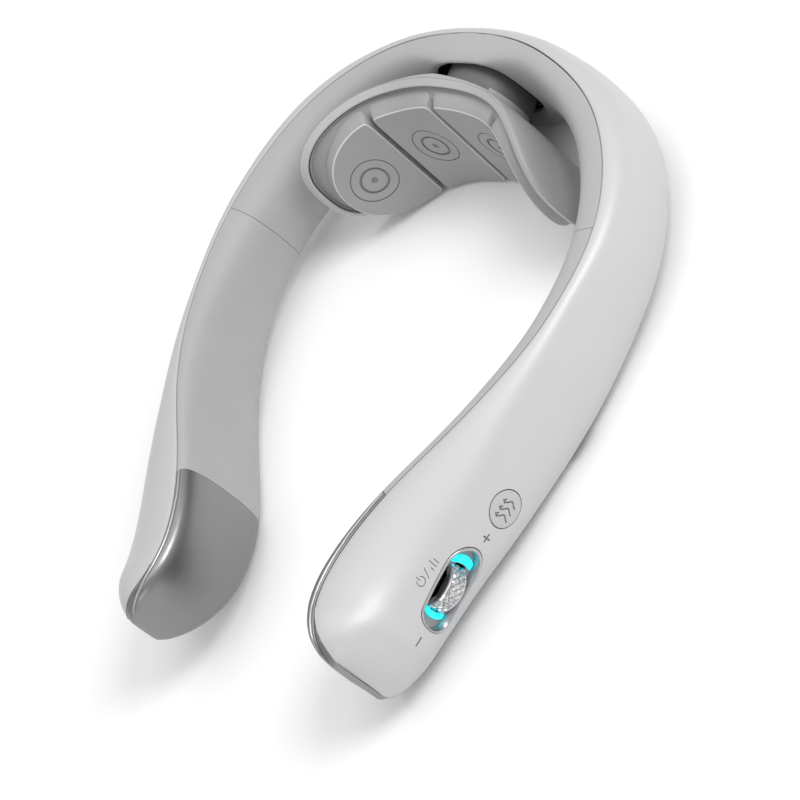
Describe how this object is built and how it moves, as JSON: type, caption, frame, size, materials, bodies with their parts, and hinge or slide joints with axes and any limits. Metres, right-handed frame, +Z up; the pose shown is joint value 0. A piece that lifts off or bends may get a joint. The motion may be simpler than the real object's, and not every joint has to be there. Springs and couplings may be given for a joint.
{
  "type": "neck massager",
  "caption": "Sprung U-shaped neck massager band with metal contact tips, a floating heated massage head at the rear, and a thumb wheel and heat button on one arm.",
  "frame": {"origin": "centre of the outline in plan, in the plane the band rests on", "axes": "+Z up out of the resting plane, +Y to the rear (nape) side of the band, +X to the arm with the controls"},
  "size_m": [0.1416, 0.1788, 0.041],
  "materials": {
    "pearl_shell": "satin pearl",
    "grey_silicone": "matte",
    "head_grey": "satin",
    "pad_grey": "satin",
    "satin_steel": "satin",
    "chrome": "polished",
    "spring_steel": "plain",
    "nylon": "plain",
    "black_plastic": "plain",
    "circuit_board": "plain",
    "polyimide_film": "plain",
    "cyan_diffuser": "translucent",
    "cell_wrap": "plain"
  },
  "bodies": {
    "rear_band": {"rear_outer_shell": "pearl_shell", "rear_liner": "grey_silicone", "spring_strip": "spring_steel", "guide_plate": "nylon", "return_spring": "spring_steel", "rear_screw_right": "satin_steel", "rear_screw_left": "satin_steel"},
    "head_carrier": {"slide_carrier": "nylon", "tilt_pin": "satin_steel"},
    "massage_head": {"head_back_cover": "head_grey", "head_rim": "head_grey", "head_front_plate": "head_grey", "heater_film": "polyimide_film", "head_board": "circuit_board", "pad_inner_right": "pad_grey", "pad_inner_left": "pad_grey", "pad_outer_right": "pad_grey", "pad_outer_left": "pad_grey"},
    "right_arm": {"right_arm_shell": "pearl_shell", "right_arm_liner": "grey_silicone", "right_tip_electrode": "satin_steel", "control_bezel": "pearl_shell", "upper_light_guide": "cyan_diffuser", "lower_light_guide": "cyan_diffuser", "wheel_switch": "black_plastic", "heat_switch": "black_plastic", "main_board": "circuit_board", "board_frame": "nylon", "board_screw_1": "satin_steel", "board_screw_2": "satin_steel", "charging_socket": "satin_steel"},
    "wheel_holder": {"wheel_carrier": "nylon", "wheel_axle": "satin_steel"},
    "thumb_wheel": {"scroll_wheel": "chrome"},
    "heat_key": {"heat_button": "pearl_shell"},
    "left_arm": {"left_arm_shell": "pearl_shell", "left_arm_liner": "grey_silicone", "left_tip_electrode": "satin_steel", "battery_cell": "cell_wrap", "battery_cradle": "nylon", "charge_board": "circuit_board"}
  },
  "joints": [
    {"name": "right_arm_flex", "type": "hinge", "parent": "rear_band", "child": "right_arm", "pos_m": [0.07076, 0.03452, 0.017], "axis": [0, 0, 1], "range_deg": [0, 14], "stiffness_Nm_per_rad": 2.5},
    {"name": "left_arm_flex", "type": "hinge", "parent": "rear_band", "child": "left_arm", "pos_m": [-0.07076, 0.03452, 0.017], "axis": [0, 0, -1], "range_deg": [0, 14], "stiffness_Nm_per_rad": 2.5},
    {"name": "head_slide", "type": "slide", "parent": "rear_band", "child": "head_carrier", "axis": [0, 1, 0], "range_m": [0, 0.0026], "stiffness_N_per_m": 400, "deforming": ["return_spring"]},
    {"name": "head_tilt", "type": "hinge", "parent": "head_carrier", "child": "massage_head", "pos_m": [0, 0.0705, 0.018], "axis": [1, 0, 0], "range_deg": [-5, 5], "stiffness_Nm_per_rad": 0.5},
    {"name": "wheel_press", "type": "slide", "parent": "right_arm", "child": "wheel_holder", "axis": [-0.9486, 0.3165, 0], "range_m": [0, 0.0003], "stiffness_N_per_m": 1500},
    {"name": "wheel_spin", "type": "hinge", "parent": "wheel_holder", "child": "thumb_wheel", "pos_m": [0.04871, -0.05958, 0.0156], "axis": [0.0331, 0.0992, -0.9945], "continuous": true},
    {"name": "heat_press", "type": "slide", "parent": "right_arm", "child": "heat_key", "axis": [-0.9811, 0.1933, 0], "range_m": [0, 0.0008], "stiffness_N_per_m": 800}
  ]
}
